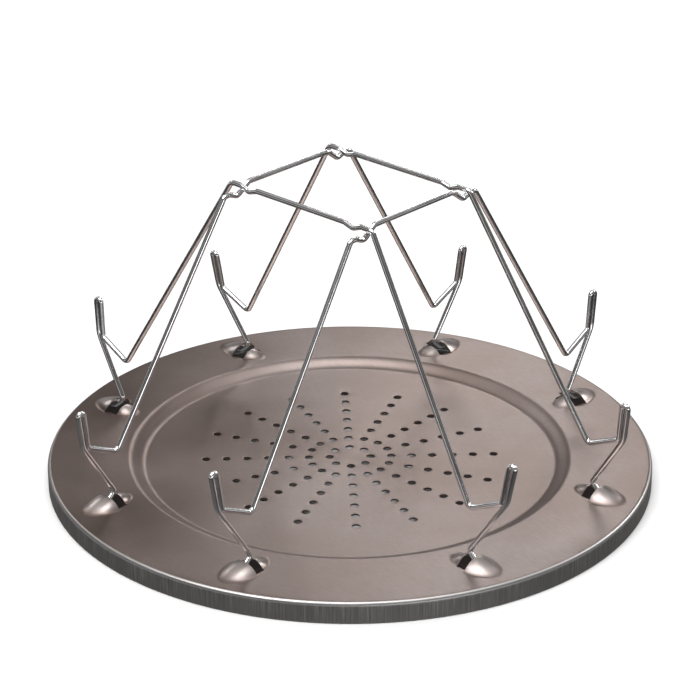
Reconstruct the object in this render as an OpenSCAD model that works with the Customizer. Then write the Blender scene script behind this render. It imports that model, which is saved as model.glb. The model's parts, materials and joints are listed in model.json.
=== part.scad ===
// Four-slice folding toast rack: a pressed, perforated round plate that carries four bent-wire arches.
// Each arch stands in two lanced hoods on opposite sides of the plate and turns about its own two feet.
// Frame: origin at the middle of the plate's lower edge, +Z up, the front of the rack towards -Y.

/* [Plate] */
// Outside diameter of the plate
plate_d = 228; // [226:1:232]
// Height of the plate's skirt
plate_h = 8; // [7.5:0.1:9]
// Thickness of the steel sheet
sheet_t = 0.7; // [0.6:0.05:0.8]
// Radius at which the shallow well starts
well_r = 84; // [80:0.5:86]
// Depth of the well below the flat border
well_depth = 3; // [2:0.1:3.2]

/* [Holes] */
// Diameter of each hole
hole_d = 3; // [2:0.1:3.4]
// Spacing of the holes along a ray
hole_pitch = 7.8; // [7.2:0.1:8.2]
// Number of rays in the pattern
ray_count = 16; // [16]
// Number of holes on a long ray
ray_holes = 7; // [5:1:8]

/* [Wires] */
// Diameter of the wire
wire_d = 2; // [1.8:0.05:2.05]
// Distance of each arch's feet line from the centre of the plate
feet_offset = 35; // [34.5:0.1:35.5]
// Height of the feet line above the plate's top
feet_rise = 0.6; // [0.5:0.05:0.7]
// Lean of the two upper arches, front and back, towards the middle
lean_upper = 4.84; // [4.6:0.02:5.0]
// Lean of the two lower arches, left and right, towards the middle
lean_lower = 2.24; // [2.0:0.02:2.4]

/* [Hoods] */
// Height of a hood at its mouth
hood_h = 3.6; // [3.6:0.05:3.8]
// Length of a hood from its mouth to its tip
hood_len = 12; // [12:0.1:13]
// Half of the width of a hood's mouth
hood_half = 6.6; // [6.2:0.1:7]
// Distance of the hood's mouth from the centre of the plate
hood_mouth = 92; // [91.5:0.1:92.5]
// Length of the small hood that faces the large one
bridge_len = 5; // [4:0.1:6]
// Height of the small hood at its mouth
bridge_h = 2.4; // [2:0.1:2.6]
// Half of the width of the small hood's mouth
bridge_half = 4.2; // [4:0.1:4.4]
// Length of the open slot between the two mouths
slot_len = 4.8; // [4.6:0.1:5.4]

/* [Hidden] */
$fn = 48;

plate_r = plate_d / 2;
wire_r = wire_d / 2;
feet_z = plate_h + feet_rise;
steel = "#8f8783";
chrome = "#d9dade";

// Radii of the pressed edges
lip_r = 1.6;
step_w = 7;
arc_steps = 8;

// How far a cut runs past the surface that it opens, and the slot past the two mouths
over = 1;
slot_join = 0.01;
// Spare length at each end of a roof's cylinder, and the block that trims the roofs
roof_spare = 5;
trim_half = 12;
trim_h = 10;

// How finely the wire is swept: sides of its section, and the largest turn between two rings
wire_sides = 10;
bend_step = 22;
// Length of a round foot, and the radii of the swept wire's two last rings inside it
foot_len = 2;
root_r = wire_r - 0.3;
neck_r = wire_r - 0.1;

// Outline of half an arch in its own plane: [distance from the middle, height above the feet, bend radius].
// It runs from the end of the foot, round the hook and the shelf that hold a slice, up the long leg.
foot_end = [95.6, 0, 0];
lower_run = [
    [92.8, 0, 1.6],
    [88.4, 3.8, 1.7],
    [103.2, 26.8, 9],
    [105.3, 40.8, 1.2],
    [102.8, 41.1, 1.2],
    [100.9, 26.2, 1.7],
    [87, 19.6, 2.2]
];
// The top of an upper arch: the corner, the crest that passes over a lower arch, the kink and the bar
upper_top = [
    [34.4, 106.5, 2.6],
    [29.4, 106.5, 2],
    [25.5, 105.1, 1.8],
    [21.4, 106.3, 3]
];
// The top of a lower arch: the corner, the lip, the notch that an upper arch sits in and the bar
lower_top = [
    [33.2, 103.4, 2],
    [30.4, 103.4, 1.8],
    [26.6, 101.9, 2],
    [21, 106, 3]
];

// Half of an arch's outline, mirrored and joined into one run from foot to foot
function half_run(top) = concat([foot_end], lower_run, top);
function mirrored(run) = [for (i = [len(run) - 1:-1:0]) [-run[i][0], run[i][1], run[i][2]]];
function whole_run(top) = concat(half_run(top), mirrored(half_run(top)));

// Plane geometry of a bend at corner b, between a and c
function flat(p) = [p[0], p[1]];
function unit(v) = v / norm(v);
function spun(v, angle) = [v[0] * cos(angle) - v[1] * sin(angle), v[0] * sin(angle) + v[1] * cos(angle)];
function turn(a, b, c) = let (u = unit(b - a), v = unit(c - b)) atan2(u[0] * v[1] - u[1] * v[0], u * v);
function bend_start(a, b, c, r) = b - unit(b - a) * r * tan(abs(turn(a, b, c)) / 2);

// Stations round one bend, each with its point and the wire's direction there
function bend_stations(a, b, c, r) = let (
    t = turn(a, b, c),
    u = unit(b - a),
    start = bend_start(a, b, c, r),
    centre = start + sign(t) * r * spun(u, 90),
    steps = max(2, ceil(abs(t) / bend_step))
) [for (i = [0:steps]) let (angle = t * i / steps) [centre + spun(start - centre, angle), spun(u, angle)]];

// Every station of a run of bends between the two straight feet
function stations(run) = [for (i = [1:len(run) - 2])
    each bend_stations(flat(run[i - 1]), flat(run[i]), flat(run[i + 1]), run[i][2])];

// One ring of points round a station, in the XZ plane's space
function ring(p, dir, r) = let (n = spun(dir, 90)) [for (j = [0:wire_sides - 1])
    let (a = 360 * j / wire_sides) [p[0] + r * n[0] * cos(a), r * sin(a), p[1] + r * n[1] * cos(a)]];

// Points on a quarter arc from angle a0 to a1
function arc(cx, cy, r, a0, a1) = [for (i = [0:arc_steps]) let (a = a0 + (a1 - a0) * i / arc_steps)
    [cx + r * cos(a), cy + r * sin(a)]];

// The wire swept from foot to foot. Its two ends are thinner and hide inside the round feet.
module swept_wire(run) {
    ends = [[foot_end[0] - foot_len / 2, root_r], [foot_end[0] - foot_len, neck_r]];
    first = [for (e = ends) ring([e[0], 0], [-1, 0], e[1])];
    middle = [for (s = stations(run)) ring(s[0], s[1], wire_r)];
    final = [for (i = [1:-1:0]) ring([-ends[i][0], 0], [-1, 0], ends[i][1])];
    rings = concat(first, middle, final);
    n = wire_sides;
    last = len(rings) - 1;
    sides = [for (i = [0:last - 1]) for (j = [0:n - 1]) let (k = (j + 1) % n, a = i * n, b = a + n)
        each [[a + j, b + k, b + j], [a + j, a + k, b + k]]];
    caps = [[for (j = [n - 1:-1:0]) j], [for (j = [0:n - 1]) last * n + j]];
    polyhedron(points = [for (r = rings) each r], faces = concat(sides, caps));
}

// A whole arch standing in the XZ plane with its feet on the X axis
module arch(top) {
    swept_wire(whole_run(top));
    for (end = [0, 1])
        mirror([end, 0, 0])
            translate([foot_end[0] - foot_len, 0, 0])
                rotate([0, 90, 0])
                    cylinder(h = foot_len, r = wire_r);
}

// An arch leaned towards the middle and turned to its side of the rack
module placed_arch(top, lean, side_angle) {
    color(chrome)
        rotate([0, 0, side_angle])
            translate([0, -feet_offset, feet_z])
                rotate([-lean, 0, 0])
                    arch(top);
}

// The pressed sheet: skirt, rounded lip, flat border, soft step and the floor of the well
module sheet_profile() {
    top = plate_h;
    floor_z = plate_h - well_depth;
    inner_r = well_r - step_w;
    outer = concat(
        [[0, floor_z], [inner_r, floor_z]],
        [for (i = [1:arc_steps - 1]) let (s = i / arc_steps)
            [inner_r + step_w * s, floor_z + well_depth * (1 - cos(180 * s)) / 2]],
        [[well_r, top]],
        arc(plate_r - lip_r, top - lip_r, lip_r, 90, 0),
        [[plate_r, 0], [plate_r - sheet_t, 0]],
        arc(plate_r - lip_r, top - lip_r, lip_r - sheet_t, 0, 90),
        [[well_r, top - sheet_t]],
        [for (i = [arc_steps - 1:-1:1]) let (s = i / arc_steps)
            [inner_r + step_w * s, floor_z - sheet_t + well_depth * (1 - cos(180 * s)) / 2]],
        [[inner_r, floor_z - sheet_t], [0, floor_z - sheet_t]]
    );
    polygon(outer);
}

// The star of holes: every second ray is long and starts at the first ring, the others at the second
module hole_star() {
    floor_z = plate_h - well_depth;
    translate([0, 0, floor_z - sheet_t - over])
        for (ray = [0:ray_count - 1])
            for (ring = [1 + ray % 2:ray_holes])
                rotate([0, 0, ray * 360 / ray_count])
                    translate([ring * hole_pitch, 0, 0])
                        cylinder(h = sheet_t + 2 * over, d = hole_d, $fn = 24);
}

// Radius of a round roof of a given half width and height
function roof_r(half, h) = (half * half + h * h) / (2 * h);

// A round roof that slopes down from its mouth at the origin to its tip along +X
module sloped_roof(half, h, length, inset) {
    r = roof_r(half, h);
    fall = atan(h / length);
    translate([0, 0, h])
        rotate([0, fall, 0])
            translate([-roof_spare, 0, -r])
                rotate([0, 90, 0])
                    cylinder(h = length + 2 * roof_spare, r = r - inset, $fn = 96);
}

// The block that trims a roof: from the mouth outwards, and from the height given upwards
module roof_room(length, bottom) {
    translate([0, -trim_half, bottom])
        cube([length + 2 * over, 2 * trim_half, trim_h]);
}

// The shell of one hood, with its mouth at the origin and the border's top at height zero
module hood_shell(half, h, length) {
    intersection() {
        difference() {
            sloped_roof(half, h, length, 0);
            sloped_roof(half, h, length, sheet_t);
        }
        roof_room(length, -sheet_t);
    }
}

// The hollow under one hood
module hood_hollow(half, h, length) {
    intersection() {
        sloped_roof(half, h, length, sheet_t);
        roof_room(length, -sheet_t - over);
    }
}

// Places its children at the mouths of all eight pairs of hoods
module each_foot() {
    for (side = [0:90:270])
        for (leg = [-1, 1])
            rotate([0, 0, side])
                translate([hood_mouth, leg * feet_offset, plate_h])
                    children();
}

module base_plate() {
    color(steel)
        union() {
            difference() {
                rotate_extrude($fn = 180)
                    sheet_profile();
                hole_star();
                each_foot() {
                    hood_hollow(hood_half, hood_h, hood_len);
                    translate([-slot_len, 0, 0])
                        mirror([1, 0, 0])
                            hood_hollow(bridge_half, bridge_h, bridge_len);
                    translate([-slot_len - slot_join, -bridge_half - over, -sheet_t - over])
                        cube([slot_len + 2 * slot_join, 2 * (bridge_half + over), sheet_t + 2 * over]);
                }
            }
            each_foot() {
                hood_shell(hood_half, hood_h, hood_len);
                translate([-slot_len, 0, 0])
                    mirror([1, 0, 0])
                        hood_shell(bridge_half, bridge_h, bridge_len);
            }
        }
}

module wire_front() {
    placed_arch(upper_top, lean_upper, 0);
}

module wire_back() {
    placed_arch(upper_top, lean_upper, 180);
}

module wire_left() {
    placed_arch(lower_top, lean_lower, -90);
}

module wire_right() {
    placed_arch(lower_top, lean_lower, 90);
}

base_plate();
wire_front();
wire_back();
wire_left();
wire_right();
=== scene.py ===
"""The looks of the folding toast rack: a pressed, perforated steel plate and four bent-wire arches."""

import json
import math

import bpy
from mathutils import Matrix, Vector
from mathutils.geometry import delaunay_2d_cdt


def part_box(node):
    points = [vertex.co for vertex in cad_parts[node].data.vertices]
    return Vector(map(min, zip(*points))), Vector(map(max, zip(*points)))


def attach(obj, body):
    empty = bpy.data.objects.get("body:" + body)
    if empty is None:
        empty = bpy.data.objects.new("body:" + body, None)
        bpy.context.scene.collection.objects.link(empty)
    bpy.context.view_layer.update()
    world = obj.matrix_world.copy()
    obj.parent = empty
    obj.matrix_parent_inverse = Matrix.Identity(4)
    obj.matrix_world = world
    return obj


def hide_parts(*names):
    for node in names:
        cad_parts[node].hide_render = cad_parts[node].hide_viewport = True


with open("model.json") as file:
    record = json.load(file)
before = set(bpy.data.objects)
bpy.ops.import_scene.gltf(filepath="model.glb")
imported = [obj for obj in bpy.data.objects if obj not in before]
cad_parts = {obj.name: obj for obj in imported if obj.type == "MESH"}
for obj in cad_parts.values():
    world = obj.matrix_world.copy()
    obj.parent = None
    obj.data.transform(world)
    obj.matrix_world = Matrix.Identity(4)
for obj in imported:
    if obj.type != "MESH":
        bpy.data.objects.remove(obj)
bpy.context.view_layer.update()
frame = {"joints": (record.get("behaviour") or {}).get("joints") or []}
joints = {joint["name"]: joint for joint in frame["joints"]}

# ---------------------------------------------------------------- driving dimensions, in millimetres
MM = 0.001
# The plate: sheet, skirt, rolled lip and shallow well
SHEET = 0.7
SKIRT_H = 8.0
PLATE_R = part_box("base_plate")[1].x / MM
LIP_R = 1.6
WELL_R = 84.0
WELL_DEPTH = 3.0
STEP_W = 7.0
# The star of holes
HOLE_R = 1.5
HOLE_PITCH = 7.8
RAYS = 16
RAY_HOLES = 7
STAR_R = (RAY_HOLES + 1) * HOLE_PITCH
# The wires' feet, from the hinges
FEET_OFFSET = -joints["front_fold"]["pos_m"][1] / MM
FEET_Z = joints["front_fold"]["pos_m"][2] / MM
# The large hood over each foot
HOOD_MOUTH = 92.0
HOOD_H = 3.5
HOOD_LEN = 10.0
HOOD_HALF = 6.6
# The small hood that faces it
BRIDGE_H = 2.4
BRIDGE_LEN = 5.5
BRIDGE_HALF = 4.2
# The slot between the two, and the fine slit along the rest of the large mouth
SLOT_LEN = 4.8
SLOT_HALF = 5.28
SLOT_INNER = HOOD_MOUTH - SLOT_LEN
SLIT = 0.3
WIRE_R = 1.0


# ---------------------------------------------------------------- meshes
def new_piece(name, points, faces, materials, body, replaced):
    """A smooth-shaded piece from points in millimetres, riding on a body in place of a CAD node."""
    mesh = bpy.data.meshes.new(name)
    mesh.from_pydata([Vector(p) * MM for p in points], [], faces)
    for material in materials:
        mesh.materials.append(material)
    mesh.validate()
    mesh.shade_smooth()
    piece = bpy.data.objects.new(name, mesh)
    bpy.context.scene.collection.objects.link(piece)
    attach(piece, body)
    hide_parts(replaced)
    return piece


# ---------------------------------------------------------------- the plate's height, in plan
# Each foot: the turn of its side about the plate's centre, and its offset along that side
FEET = [(side * math.pi / 2, leg * FEET_OFFSET) for side in range(4) for leg in (-1, 1)]
# Half of the fillet where a hood leaves the border, and how fast its crest falls
BORDER_BLEND = 0.8
ROOF_POWER = 1.5
# A hood's height is only looked for this close to its outline
HOOD_REACH = 3
# Width and drop of the rolled edge round each hole
ROLL = 0.3
ROLL_DROP = 0.06
# A point this close to a mouth lies on it
ON_MOUTH = 1e-4


def to_foot(x, y, foot):
    """The plan point in a foot's own frame: u outwards from the plate's centre, v across the hood."""
    angle, offset = foot
    u = x * math.cos(angle) + y * math.sin(angle)
    v = -x * math.sin(angle) + y * math.cos(angle) - offset
    return u, v


def from_foot(u, v, foot):
    """The plan point of a place in a foot's own frame."""
    angle, offset = foot
    w = v + offset
    return u * math.cos(angle) - w * math.sin(angle), u * math.sin(angle) + w * math.cos(angle)


def roof(u, v, half, height, length):
    """Height of a round roof over the border, u outwards from its mouth. Negative outside its outline."""
    radius = (half * half + height * height) / (2 * height)
    crest = height * (1 - (max(u, 0) / length) ** ROOF_POWER)
    if abs(v) >= radius:
        return -height
    return math.sqrt(radius * radius - v * v) - radius + crest


def softened(value):
    """The larger of value and zero, with a small fillet between them."""
    if value > BORDER_BLEND:
        return value
    if value < -BORDER_BLEND:
        return 0.0
    return max(value, 0.0) + (BORDER_BLEND - abs(value)) ** 2 / (4 * BORDER_BLEND)


def hood_height(x, y):
    """Height of the pressed hoods above the border."""
    for foot in FEET:
        u, v = to_foot(x, y, foot)
        if abs(v) > HOOD_HALF + HOOD_REACH or u < SLOT_INNER - BRIDGE_LEN - HOOD_REACH:
            continue
        if u > HOOD_MOUTH - ON_MOUTH:
            return softened(roof(u - HOOD_MOUTH, v, HOOD_HALF, HOOD_H, HOOD_LEN))
        if u < SLOT_INNER + ON_MOUTH:
            return softened(roof(SLOT_INNER - u, v, BRIDGE_HALF, BRIDGE_H, BRIDGE_LEN))
    return 0.0


def well_height(radius):
    """Height of the sheet's top: the floor of the well, the soft step and the flat border."""
    share = min(max((radius - WELL_R + STEP_W) / STEP_W, 0.0), 1.0)
    return SKIRT_H - WELL_DEPTH * (1 + math.cos(math.pi * share)) / 2


def hole_centres():
    """The star: every second ray is long and starts at the first ring, the others at the second."""
    for ray in range(RAYS):
        angle = 2 * math.pi * ray / RAYS
        for ring in range(1 + ray % 2, RAY_HOLES + 1):
            yield ring * HOLE_PITCH * math.cos(angle), ring * HOLE_PITCH * math.sin(angle)


HOLES = list(hole_centres())


def hole_distance(x, y):
    """Distance to the nearest hole's centre."""
    return min(math.hypot(x - hx, y - hy) for hx, hy in HOLES)


def top_height(x, y):
    """Height of the sheet's top anywhere inside the lip."""
    radius = math.hypot(x, y)
    z = well_height(radius)
    if radius > WELL_R:
        return z + hood_height(x, y)
    if radius < STAR_R:
        into = 1 - min(max((hole_distance(x, y) - HOLE_R) / ROLL, 0.0), 1.0)
        z -= ROLL_DROP * into * into
    return z


# ---------------------------------------------------------------- the plate's plan points
# Points round the plate, round a hole, and the rings outside each hole as shares of its rolled edge
SEGMENTS = 360
HOLE_SIDES = 28
HOLE_RINGS = (0.35, 0.7, 1.0)
# The fine grid over a pair of hoods: spacing, half its width, and its rows outwards and inwards
FINE = 0.44
FINE_HALF = 20
OUTER_ROWS = 33
INNER_ROWS = 16
# Rows beside the slot, the room that grid points leave at the slot and the lip, and the slot's end points
BESIDE_GAP = 0.9
BESIDE_ROWS = 5
SLOT_ROOM = 0.1
LIP_ROOM = 0.2
SLOT_STEPS = 12
# Rings over the well's step, across the border, and between the step and the star
STEP_RINGS = 26
STEP_START = WELL_R - STEP_W - 1
STEP_SPAN = STEP_W + 2
BORDER_RINGS = (89.0, 94.5, 100.0, 104.5, 108.5, 111.0)
FLOOR_RINGS = (62.0, 66.0, 70.0, 73.5)
FLOOR_SEGMENTS = 120
# The lattice over the star: spacing, reach, row height as a share of the spacing, and room round a hole
FLAT_GAP = 3.5
FLAT_REACH = 60
FLAT_R = 59
ROW_RISE = 0.87
HOLE_ROOM = 0.4


def in_foot_patch(x, y):
    """True inside the finely divided rectangle round a pair of hoods."""
    for foot in FEET:
        u, v = to_foot(x, y, foot)
        low = SLOT_INNER - (INNER_ROWS - 0.5) * FINE
        high = HOOD_MOUTH + (OUTER_ROWS - 0.5) * FINE
        if low < u < high and abs(v) < (FINE_HALF + 0.5) * FINE:
            return True
    return False


def ring_points(radius, count):
    """Evenly spaced points round a circle about the origin."""
    turns = [2 * math.pi * i / count for i in range(count)]
    return [(radius * math.cos(turn), radius * math.sin(turn)) for turn in turns]


def slot_outline(foot):
    """The lanced opening between two hoods, with a fine slit along the rest of the large mouth."""
    cut = HOOD_MOUTH - SLIT
    run = cut - SLOT_INNER
    half_slot = round(SLOT_HALF / FINE)
    half_mouth = round(HOOD_HALF / FINE)
    outline = [(SLOT_INNER, v * FINE) for v in range(half_slot, -half_slot - 1, -1)]
    outline += [(SLOT_INNER + run * i / SLOT_STEPS, -SLOT_HALF) for i in range(1, SLOT_STEPS)]
    outline += [(cut, -v * FINE) for v in range(half_slot, half_mouth + 1)]
    outline += [(HOOD_MOUTH, v * FINE) for v in range(-half_mouth, half_mouth + 1)]
    outline += [(cut, v * FINE) for v in range(half_mouth, half_slot - 1, -1)]
    outline += [(cut - run * i / SLOT_STEPS, SLOT_HALF) for i in range(1, SLOT_STEPS)]
    return [from_foot(u, v, foot) for u, v in outline]


def foot_grid(foot):
    """Fine points over both hoods of a foot, outside the slot."""
    rows = [HOOD_MOUTH + i * FINE for i in range(OUTER_ROWS)]
    rows += [SLOT_INNER - i * FINE for i in range(INNER_ROWS)]
    beside = [SLOT_INNER + i * BESIDE_GAP for i in range(1, BESIDE_ROWS + 1)]
    points = []
    for v in range(-FINE_HALF, FINE_HALF + 1):
        points += [from_foot(u, v * FINE, foot) for u in rows]
        if abs(v * FINE) > SLOT_HALF + SLOT_ROOM:
            points += [from_foot(u, v * FINE, foot) for u in beside]
    return [p for p in points if math.hypot(*p) < PLATE_R - LIP_R - LIP_ROOM]


def plan_points():
    """All plan points, and the closed outlines among them: the outer ring, the slots and the holes."""
    points, loops = [], []

    def closed(loop):
        start = len(points)
        points.extend(loop)
        loops.append(list(range(start, len(points))))

    closed(ring_points(PLATE_R - LIP_R, SEGMENTS))
    for foot in FEET:
        closed(slot_outline(foot))
    for hx, hy in HOLES:
        circle = ring_points(HOLE_R, HOLE_SIDES)
        closed([(hx + x, hy + y) for x, y in circle])
        for share in HOLE_RINGS:
            scale = 1 + ROLL * share / HOLE_R
            points.extend((hx + x * scale, hy + y * scale) for x, y in circle)
    step_rings = [STEP_START + i * STEP_SPAN / (STEP_RINGS - 1) for i in range(STEP_RINGS)]
    for ring in (*step_rings, *BORDER_RINGS):
        points.extend(p for p in ring_points(ring, SEGMENTS) if not in_foot_patch(*p))
    for ring in FLOOR_RINGS:
        points.extend(ring_points(ring, FLOOR_SEGMENTS))
    steps = int(FLAT_REACH / FLAT_GAP)
    for i in range(-steps, steps + 1):
        for j in range(-steps, steps + 1):
            x, y = (i + 0.5 * (j % 2)) * FLAT_GAP, j * FLAT_GAP * ROW_RISE
            if math.hypot(x, y) < FLAT_R and hole_distance(x, y) > HOLE_R + ROLL + HOLE_ROOM:
                points.append((x, y))
    for foot in FEET:
        points.extend(foot_grid(foot))
    return points, loops


# A face whose centre is within this share of a hole's radius lies in the hole
INSIDE_HOLE = 0.99
# The plan step over which slopes are taken, a rise over it that means a cut edge, and the mesher's tolerance
SLOPE_STEP = 0.02
CUT_RISE = HOOD_H / 20
MESH_EPSILON = 1e-5
RIM_TOLERANCE = 1e-3


def cut_away(x, y):
    """True inside a hole or a slot."""
    if math.hypot(x, y) < STAR_R:
        return hole_distance(x, y) < HOLE_R * INSIDE_HOLE
    for foot in FEET:
        u, v = to_foot(x, y, foot)
        wide = SLOT_INNER < u < HOOD_MOUTH and abs(v) < SLOT_HALF
        if wide or (HOOD_MOUTH - SLIT < u < HOOD_MOUTH and abs(v) < HOOD_HALF):
            return True
    return False


def plate_mesh():
    """The pressed sheet inside the lip: points, faces, the open outer edge and the number of top points."""
    plan, loops = plan_points()
    edges = [(loop[i], loop[(i + 1) % len(loop)]) for loop in loops for i in range(len(loop))]
    made = delaunay_2d_cdt([Vector(p) for p in plan], edges, [], 0, MESH_EPSILON)
    flat, triangles = made[0], made[2]
    inside = []
    for a, b, c in triangles:
        centre = (flat[a] + flat[b] + flat[c]) / 3
        if centre.length < PLATE_R - LIP_R and not cut_away(centre.x, centre.y):
            inside.append((a, b, c))
    used = sorted({i for face in inside for i in face})
    number = {old: new for new, old in enumerate(used)}
    faces = [tuple(number[i] for i in face) for face in inside]
    top, bottom = [], []
    for i in used:
        x, y = flat[i]
        z = top_height(x, y)
        dx, dy = slopes(x, y, z)
        normal = Vector((-dx, -dy, 1)).normalized()
        top.append(Vector((x, y, z)))
        bottom.append(top[-1] - normal * SHEET)
    count = len(top)
    points = top + bottom
    sheet = faces + [(c + count, b + count, a + count) for a, b, c in faces]
    rim = PLATE_R - LIP_R - RIM_TOLERANCE
    sides = dict.fromkeys(edge for a, b, c in faces for edge in ((a, b), (b, c), (c, a)))
    outer = {}
    for a, b in sides:
        if (b, a) in sides:
            continue
        if top[a].xy.length > rim and top[b].xy.length > rim:
            outer[a] = b
        else:
            sheet.append((b, a, a + count, b + count))
    return points, sheet, outer, count


def slopes(x, y, z):
    """Slopes of the top, taken on the side of the point where the sheet goes on."""
    found = []
    for ax, ay in ((SLOPE_STEP, 0), (0, SLOPE_STEP)):
        ahead, behind = top_height(x + ax, y + ay) - z, z - top_height(x - ax, y - ay)
        choices = [d for d in (ahead, behind) if abs(d) < CUT_RISE]
        found.append(sum(choices) / len(choices) / SLOPE_STEP if choices else 0.0)
    return found


# Steps round the lip, rows down the skirt and the bevel of its lower edge
LIP_STEPS = 12
SKIRT_ROWS = 6
SKIRT_EDGE = 0.12
# The skirt's streaked finish starts this many rows down the rim, inside the lip's bend
SKIRT_FROM = (LIP_STEPS + SKIRT_ROWS + 1) // 2 + 1
SHARP_ANGLE = math.radians(40)


def rim_profile():
    """Outside of the lip and skirt from the top edge down, then the inside back up."""
    centre, low = PLATE_R - LIP_R, SKIRT_H - LIP_R
    turns = [math.pi / 2 * i / LIP_STEPS for i in range(1, LIP_STEPS + 1)]
    outside = [(centre + LIP_R * math.sin(a), low + LIP_R * math.cos(a)) for a in turns]
    outside += [(PLATE_R, low * i / SKIRT_ROWS + SKIRT_EDGE) for i in range(SKIRT_ROWS - 1, 0, -1)]
    outside += [(PLATE_R, SKIRT_EDGE), (PLATE_R - SKIRT_EDGE, 0)]
    inner_face, inner_r = PLATE_R - SHEET, LIP_R - SHEET
    inside = [(inner_face + SKIRT_EDGE, 0), (inner_face, SKIRT_EDGE), (inner_face, low)]
    inside += [(centre + inner_r * math.cos(a), low + inner_r * math.sin(a)) for a in turns[:-1]]
    return outside, inside


def build_plate(top_material, skirt_material):
    """The whole pressed plate: the sheet, the lip and the skirt, in two finishes."""
    points, faces, outer, count = plate_mesh()
    order = [next(iter(outer))]
    while outer[order[-1]] != order[0]:
        order.append(outer[order[-1]])
    outside, inside = rim_profile()
    rows = [order]
    for radius, z in outside + inside:
        start = len(points)
        for i in order:
            direction = points[i].xy.normalized()
            points.append(Vector((direction.x * radius, direction.y * radius, z)))
        rows.append(list(range(start, start + len(order))))
    rows.append([i + count for i in order])
    count_round = len(order)
    first_skirt = len(faces) + SKIRT_FROM * count_round
    last_skirt = len(faces) + len(outside) * count_round
    for upper, lower in zip(rows, rows[1:]):
        for i in range(count_round):
            j = (i + 1) % count_round
            faces.append((upper[j], upper[i], lower[i], lower[j]))
    plate = new_piece("pressed_plate", points, faces, [top_material, skirt_material],
                      "plate", "base_plate")
    for polygon in plate.data.polygons[first_skirt:last_skirt]:
        polygon.material_index = 1
    plate.data.set_sharp_from_angle(angle=SHARP_ANGLE)


# ---------------------------------------------------------------- the wires
# How each arch stands: its lean towards the middle and the turn of its side, in degrees
ARCH_PLACE = {"front_arch": (4.84, 0), "back_arch": (4.84, 180),
              "left_arch": (2.24, -90), "right_arch": (2.24, 90)}
# Half an outline in the arch's own plane: distance from its middle, height above its feet, bend radius
FOOT_END = (95.6, 0.0, 0.0)
LOWER_RUN = [(92.8, 0, 1.6), (88.4, 3.8, 1.7), (103.2, 26.8, 9), (105.3, 40.8, 1.2),
             (102.8, 41.1, 1.2), (100.9, 26.2, 1.7), (87, 19.6, 2.2)]
UPPER_TOP = [(34.4, 106.5, 2.6), (29.4, 106.5, 2), (25.5, 105.1, 1.8), (21.4, 106.3, 3)]
LOWER_TOP = [(33.2, 103.4, 2), (30.4, 103.4, 1.8), (26.6, 101.9, 2), (21, 106, 3)]
# Points round the wire, the largest turn between two rings, and the rounding of its cut ends
WIRE_SIDES = 24
BEND_STEP = math.radians(7)
END_ROUND = 0.4
END_STEPS = 5
# Lengths along the wire are kept in the UV map in centimetres
UV_LENGTH = 10


def whole_run(top):
    """The outline from foot to foot."""
    half = [FOOT_END] + LOWER_RUN + top
    return half + [(-u, z, r) for u, z, r in reversed(half)]


def stations(run):
    """Points and directions along the wire: the straight feet, and every bend as a round arc."""
    found = []
    for (au, az, _), (bu, bz, radius), (cu, cz, _) in zip(run, run[1:], run[2:]):
        a, b, c = Vector((au, az)), Vector((bu, bz)), Vector((cu, cz))
        before, after = (b - a).normalized(), (c - b).normalized()
        turn = math.atan2(before.x * after.y - before.y * after.x, before.dot(after))
        start = b - before * radius * math.tan(abs(turn) / 2)
        left = Vector((-before.y, before.x))
        centre = start + left * math.copysign(radius, turn)
        steps = max(2, math.ceil(abs(turn) / BEND_STEP))
        for i in range(steps + 1):
            spin = Matrix.Rotation(turn * i / steps, 2)
            found.append((centre + spin @ (start - centre), spin @ before, WIRE_R))
    return found


def with_ends(middle):
    """The two rounded ends of the wire, on the straight feet."""
    ends = []
    for i in range(END_STEPS + 1):
        angle = math.pi / 2 * i / END_STEPS
        place = FOOT_END[0] - END_ROUND + END_ROUND * math.cos(angle)
        ends.append((place, WIRE_R - END_ROUND + END_ROUND * math.sin(angle)))
    inward = Vector((-1, 0))
    first = [(Vector((u, 0)), inward, r) for u, r in ends]
    last = [(Vector((-u, 0)), inward, r) for u, r in reversed(ends)]
    return first + middle + last


def build_arch(name, body, replaced, top, material):
    """One bent wire, on its own hinge line and leaned as the frame's joint places it."""
    lean, turned = ARCH_PLACE[body]
    place = (Matrix.Rotation(math.radians(turned), 4, "Z")
             @ Matrix.Translation((0, -FEET_OFFSET, FEET_Z))
             @ Matrix.Rotation(math.radians(-lean), 4, "X"))
    rings = with_ends(stations(whole_run(top)))
    points, lengths, travelled = [], [], 0.0
    for index, (centre, direction, radius) in enumerate(rings):
        if index:
            travelled += (centre - rings[index - 1][0]).length
        lengths.append(travelled)
        across = Vector((-direction.y, direction.x))
        for side in range(WIRE_SIDES):
            angle = 2 * math.pi * side / WIRE_SIDES
            flat = centre + across * radius * math.cos(angle)
            points.append(place @ Vector((flat.x, radius * math.sin(angle), flat.y)))
    n, last = WIRE_SIDES, len(rings) - 1
    faces = [(i * n + j, i * n + (j + 1) % n, (i + 1) * n + (j + 1) % n, (i + 1) * n + j)
             for i in range(last) for j in range(n)]
    faces += [tuple(range(n - 1, -1, -1)), tuple(last * n + j for j in range(n))]
    arch = new_piece(name, points, faces, [material], body, replaced)
    layer = arch.data.uv_layers.new(name="along")
    for polygon in arch.data.polygons[:last * n]:
        i, j = divmod(polygon.index, n)
        corners = ((i, j), (i, j + 1), (i + 1, j + 1), (i + 1, j))
        for loop, (ring, side) in zip(polygon.loop_indices, corners):
            layer.data[loop].uv = (lengths[ring] / UV_LENGTH, side / n)


# ---------------------------------------------------------------- materials
def node_material(name):
    """A new material, its node tree and its shader."""
    material = bpy.data.materials.new(name)
    material.use_nodes = True
    tree = material.node_tree
    return material, tree, tree.nodes["Principled BSDF"]


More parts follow.
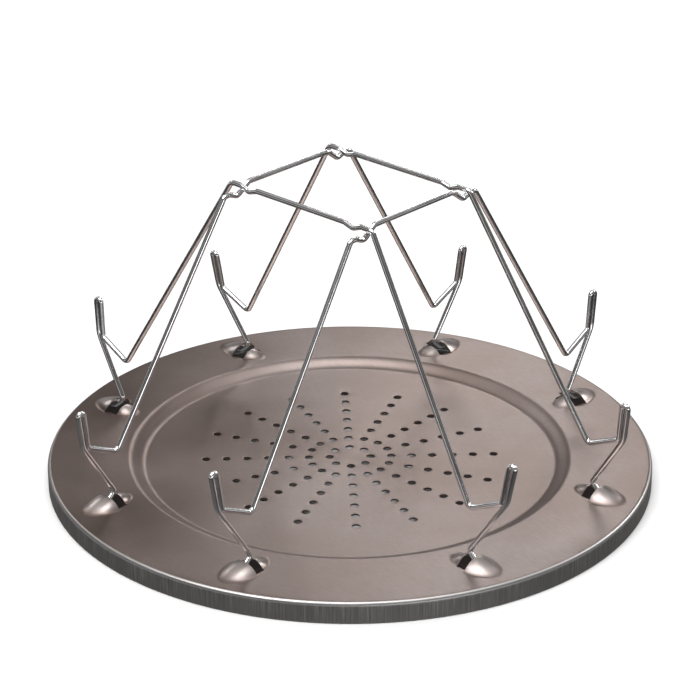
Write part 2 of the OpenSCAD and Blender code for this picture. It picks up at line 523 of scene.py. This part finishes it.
def noise(tree, vector, scale, detail, roughness=0.55):
    node = tree.nodes.new("ShaderNodeTexNoise")
    node.inputs["Scale"].default_value = scale
    node.inputs["Detail"].default_value = detail
    node.inputs["Roughness"].default_value = roughness
    tree.links.new(vector, node.inputs["Vector"])
    return node.outputs["Fac"]


def scaled(tree, vector, scale):
    node = tree.nodes.new("ShaderNodeMapping")
    node.inputs["Scale"].default_value = scale
    tree.links.new(vector, node.inputs["Vector"])
    return node.outputs["Vector"]


def ramp(tree, value, stops):
    node = tree.nodes.new("ShaderNodeValToRGB")
    elements = node.color_ramp.elements
    elements[0].position, elements[0].color = stops[0][0], (*stops[0][1], 1)
    elements[1].position, elements[1].color = stops[-1][0], (*stops[-1][1], 1)
    for place, colour in stops[1:-1]:
        elements.new(place).color = (*colour, 1)
    tree.links.new(value, node.inputs["Fac"])
    return node.outputs["Color"]


def ranged(tree, value, low, high, new_low, new_high):
    node = tree.nodes.new("ShaderNodeMapRange")
    for key, number in (("From Min", low), ("From Max", high), ("To Min", new_low), ("To Max", new_high)):
        node.inputs[key].default_value = number
    tree.links.new(value, node.inputs["Value"])
    return node.outputs["Result"]


# The colour sockets of a Mix node, which share their names with its number sockets
MIX_FIRST, MIX_SECOND, MIX_RESULT = 6, 7, 2


def mixed(tree, share, first, second):
    """The first colour, a socket, turning into the second, a plain colour, as the share rises."""
    node = tree.nodes.new("ShaderNodeMix")
    node.data_type = "RGBA"
    tree.links.new(share, node.inputs["Factor"])
    tree.links.new(first, node.inputs[MIX_FIRST])
    node.inputs[MIX_SECOND].default_value = (*second, 1)
    return node.outputs[MIX_RESULT]


def maths(tree, operation, first, second=None):
    node = tree.nodes.new("ShaderNodeMath")
    node.operation = operation
    for socket, value in zip(node.inputs, (first, second)):
        if hasattr(value, "links"):
            tree.links.new(value, socket)
        elif value is not None:
            socket.default_value = value
    return node.outputs[0]


def bumped(tree, shader, height, strength, distance):
    node = tree.nodes.new("ShaderNodeBump")
    node.inputs["Strength"].default_value = strength
    node.inputs["Distance"].default_value = distance
    tree.links.new(height, node.inputs["Height"])
    tree.links.new(node.outputs["Normal"], shader.inputs["Normal"])


def object_place(tree):
    return tree.nodes.new("ShaderNodeTexCoord").outputs["Object"]


# Heights over which the drawn hoods get a painted highlight in their colour and a smoother finish, and radii
# over which the lip's edge gets a painted highlight
HOOD_HIGHLIGHT_AND_POLISH_FROM, HOOD_HIGHLIGHT_AND_POLISH_TO = SKIRT_H + 0.3, SKIRT_H + 1.6
LIP_HIGHLIGHT_FROM, LIP_HIGHLIGHT_TO = PLATE_R - 1.3, PLATE_R - 0.7


def plate_material():
    """Satin rolled steel, warm grey, with a painted highlight on the raised hoods, which are also smoother,
    and a painted highlight along the edge of the lip.
    """
    material, tree, shader = node_material("satin_steel")
    place = object_place(tree)
    parts = tree.nodes.new("ShaderNodeSeparateXYZ")
    tree.links.new(place, parts.inputs["Vector"])
    cloudy = noise(tree, place, 14, 3)
    grain = noise(tree, scaled(tree, place, (300, 4200, 600)), 1, 4)
    speck = noise(tree, place, 1500, 3)
    base = ramp(tree, cloudy, [(0.3, (0.185, 0.14, 0.123)), (0.5, (0.255, 0.204, 0.187)),
                               (0.7, (0.33, 0.28, 0.265))])
    grained = mixed(tree, ranged(tree, grain, 0.3, 0.7, 0.0, 0.35), base, (0.17, 0.13, 0.112))
    # Painted highlight: the hoods turn paler with height; the same mask also lowers their roughness
    hood_highlight_and_polish = ranged(tree, parts.outputs["Z"], HOOD_HIGHLIGHT_AND_POLISH_FROM * MM, HOOD_HIGHLIGHT_AND_POLISH_TO * MM, 0.0, 1.0)
    with_hood_highlight = mixed(tree, hood_highlight_and_polish, grained, (0.38, 0.335, 0.32))
    squares = [maths(tree, "MULTIPLY", parts.outputs[axis], parts.outputs[axis]) for axis in "XY"]
    radius = maths(tree, "SQRT", maths(tree, "ADD", *squares))
    # Painted highlight: a pale band along the lip's outer edge
    lip_highlight = ranged(tree, radius, LIP_HIGHLIGHT_FROM * MM, LIP_HIGHLIGHT_TO * MM, 0.0, 1.0)
    colour = mixed(tree, lip_highlight, with_hood_highlight, (0.42, 0.41, 0.405))
    tree.links.new(colour, shader.inputs["Base Color"])
    shader.inputs["Metallic"].default_value = 1.0
    shader.inputs["Anisotropic"].default_value = 0.45
    turned = tree.nodes.new("ShaderNodeTangent")
    turned.direction_type = "RADIAL"
    turned.axis = "Z"
    tree.links.new(turned.outputs["Tangent"], shader.inputs["Tangent"])
    satin = ranged(tree, maths(tree, "ADD", grain, cloudy), 0.7, 1.3, 0.34, 0.46)
    polish = maths(tree, "SUBTRACT", satin, maths(tree, "MULTIPLY", hood_highlight_and_polish, 0.06))
    tree.links.new(polish, shader.inputs["Roughness"])
    bumped(tree, shader, maths(tree, "ADD", grain, maths(tree, "MULTIPLY", speck, 0.4)), 0.18, 0.00003)
    return material


def skirt_material():
    """The skirt's steel, with the upright streaks of the drawing die."""
    material, tree, shader = node_material("streaked_steel")
    place = object_place(tree)
    parts = tree.nodes.new("ShaderNodeSeparateXYZ")
    tree.links.new(place, parts.inputs["Vector"])
    angle = maths(tree, "ARCTAN2", parts.outputs["Y"], parts.outputs["X"])
    around = tree.nodes.new("ShaderNodeCombineXYZ")
    tree.links.new(angle, around.inputs["X"])
    tree.links.new(parts.outputs["Z"], around.inputs["Z"])
    streaks = noise(tree, scaled(tree, around.outputs["Vector"], (190, 1, 45)), 1, 5, 0.7)
    wide = noise(tree, scaled(tree, around.outputs["Vector"], (14, 1, 60)), 1, 3)
    colour = ramp(tree, streaks, [(0.25, (0.28, 0.27, 0.267)), (0.5, (0.50, 0.48, 0.47)),
                                  (0.8, (0.88, 0.85, 0.82))])
    shaded = mixed(tree, ranged(tree, wide, 0.35, 0.7, 0.0, 0.5), colour, (0.40, 0.39, 0.39))
    tree.links.new(shaded, shader.inputs["Base Color"])
    shader.inputs["Metallic"].default_value = 1.0
    tree.links.new(ranged(tree, streaks, 0.3, 0.7, 0.38, 0.56), shader.inputs["Roughness"])
    bumped(tree, shader, streaks, 0.5, 0.00006)
    return material


def chrome_material():
    """Bright plated wire with faint drawing marks along it."""
    material, tree, shader = node_material("bright_wire")
    coords = tree.nodes.new("ShaderNodeTexCoord")
    along = noise(tree, scaled(tree, coords.outputs["UV"], (1.5, 26, 1)), 1, 4)
    dull = noise(tree, coords.outputs["Object"], 90, 3)
    colour = ramp(tree, dull, [(0.3, (0.70, 0.69, 0.69)), (0.6, (0.82, 0.82, 0.83))])
    tree.links.new(colour, shader.inputs["Base Color"])
    shader.inputs["Metallic"].default_value = 1.0
    polish = ranged(tree, maths(tree, "ADD", along, dull), 0.7, 1.3, 0.08, 0.2)
    tree.links.new(polish, shader.inputs["Roughness"])
    bumped(tree, shader, along, 0.12, 0.00003)
    return material


def floor_material():
    """A pale, matt floor."""
    material, tree, shader = node_material("pale_floor")
    cloudy = noise(tree, object_place(tree), 3, 2)
    tree.links.new(ramp(tree, cloudy, [(0.3, (0.86, 0.86, 0.865)), (0.7, (0.88, 0.88, 0.88))]),
                   shader.inputs["Base Color"])
    shader.inputs["Roughness"].default_value = 0.9
    return material


# ---------------------------------------------------------------- studio
# Half the floor's side and how far it lies under the plate, in metres
FLOOR_HALF = 8
FLOOR_DROP = 0.0002


def build_floor():
    """The floor, kept out of what the metal mirrors."""
    mesh = bpy.data.meshes.new("floor")
    corners = [(x * FLOOR_HALF, y * FLOOR_HALF, 0) for x, y in ((-1, -1), (1, -1), (1, 1), (-1, 1))]
    mesh.from_pydata(corners, [], [(0, 1, 2, 3)])
    mesh.materials.append(floor_material())
    floor = bpy.data.objects.new("floor", mesh)
    floor.location.z = -FLOOR_DROP
    floor.visible_glossy = False
    bpy.context.scene.collection.objects.link(floor)


def build_world():
    """Soft surroundings: pale overhead and at the horizon, with a dark band for the metal to show."""
    world = bpy.data.worlds.new("studio")
    bpy.context.scene.world = world
    world.use_nodes = True
    tree = world.node_tree
    parts = tree.nodes.new("ShaderNodeSeparateXYZ")
    tree.links.new(tree.nodes.new("ShaderNodeTexCoord").outputs["Generated"], parts.inputs["Vector"])
    sky = ramp(tree, ranged(tree, parts.outputs["Z"], -1, 1, 0, 1),
               [(0.0, (0.20, 0.20, 0.20)), (0.36, (0.035, 0.034, 0.033)), (0.44, (0.08, 0.08, 0.08)),
                (0.48, (0.85, 0.85, 0.86)), (0.54, (0.8, 0.8, 0.81)), (0.58, (0.10, 0.095, 0.092)),
                (0.76, (0.12, 0.115, 0.11)), (0.88, (0.55, 0.55, 0.55)), (1.0, (1.0, 1.0, 1.0))])
    tree.links.new(sky, tree.nodes["Background"].inputs["Color"])
    tree.nodes["Background"].inputs["Strength"].default_value = 0.9


# The place all lights face, in metres
LIGHT_TARGET = Vector((0, 0, 0.03))
# Lights: name, azimuth from the camera's, elevation, distance, size and power
LIGHTS = (("key", -50, 58, 1.5, (0.6, 0.4), 8),
          ("far", 172, 30, 1.6, (0.5, 0.2), 2.5),
          ("far_right", 120, 30, 1.2, (0.35, 0.25), 4),
          ("far_left", -140, 30, 1.4, (0.4, 0.3), 1.5),
          ("front", 25, 10, 1.5, (1.0, 0.25), 2.5),
          ("top", 0, 80, 1.7, (0.9, 0.9), 12))


def area_light(name, place, size, power):
    """A rectangular lamp that faces the object."""
    data = bpy.data.lights.new(name, "AREA")
    data.shape = "RECTANGLE"
    data.size, data.size_y = size
    data.energy = power
    lamp = bpy.data.objects.new(name, data)
    lamp.location = place
    lamp.rotation_euler = (LIGHT_TARGET - place).to_track_quat("-Z", "Y").to_euler()
    bpy.context.scene.collection.objects.link(lamp)


# The camera and the height it aims at; lengths in metres, lens and sensor in millimetres
CAMERA_AZIMUTH = math.radians(42.7)
CAMERA_ELEVATION = math.radians(27.6)
CAMERA_DISTANCE = 0.964
CAMERA_LENS = 130.2
CAMERA_SENSOR = 36
AIM_HEIGHT = 0.0495


def round_about(azimuth, elevation, distance):
    """A point seen from the middle of the plate, azimuth 0 being in front of it."""
    return Vector((math.sin(azimuth) * math.cos(elevation), -math.cos(azimuth) * math.cos(elevation),
                   math.sin(elevation))) * distance


def build_camera():
    """The camera, level and facing the middle of the object."""
    data = bpy.data.cameras.new("camera")
    data.lens = CAMERA_LENS
    data.sensor_width = CAMERA_SENSOR
    camera = bpy.data.objects.new("camera", data)
    camera.location = round_about(CAMERA_AZIMUTH, CAMERA_ELEVATION, CAMERA_DISTANCE)
    look = Vector((0, 0, AIM_HEIGHT)) - camera.location
    camera.rotation_mode = "QUATERNION"
    camera.rotation_quaternion = look.to_track_quat("-Z", "Y")
    bpy.context.scene.collection.objects.link(camera)
    bpy.context.scene.camera = camera


def build_studio():
    """Floor, surroundings and lights, shown in plain colours."""
    build_floor()
    build_world()
    for name, azimuth, elevation, distance, size, power in LIGHTS:
        place = round_about(CAMERA_AZIMUTH + math.radians(azimuth), math.radians(elevation), distance)
        area_light(name, place, size, power)
    bpy.context.scene.view_settings.view_transform = "Standard"


# ---------------------------------------------------------------- the model
build_camera()
build_studio()
build_plate(plate_material(), skirt_material())
chrome = chrome_material()
build_arch("front_wire", "front_arch", "wire_front", UPPER_TOP, chrome)
build_arch("back_wire", "back_arch", "wire_back", UPPER_TOP, chrome)
build_arch("left_wire", "left_arch", "wire_left", LOWER_TOP, chrome)
build_arch("right_wire", "right_arch", "wire_right", LOWER_TOP, chrome)
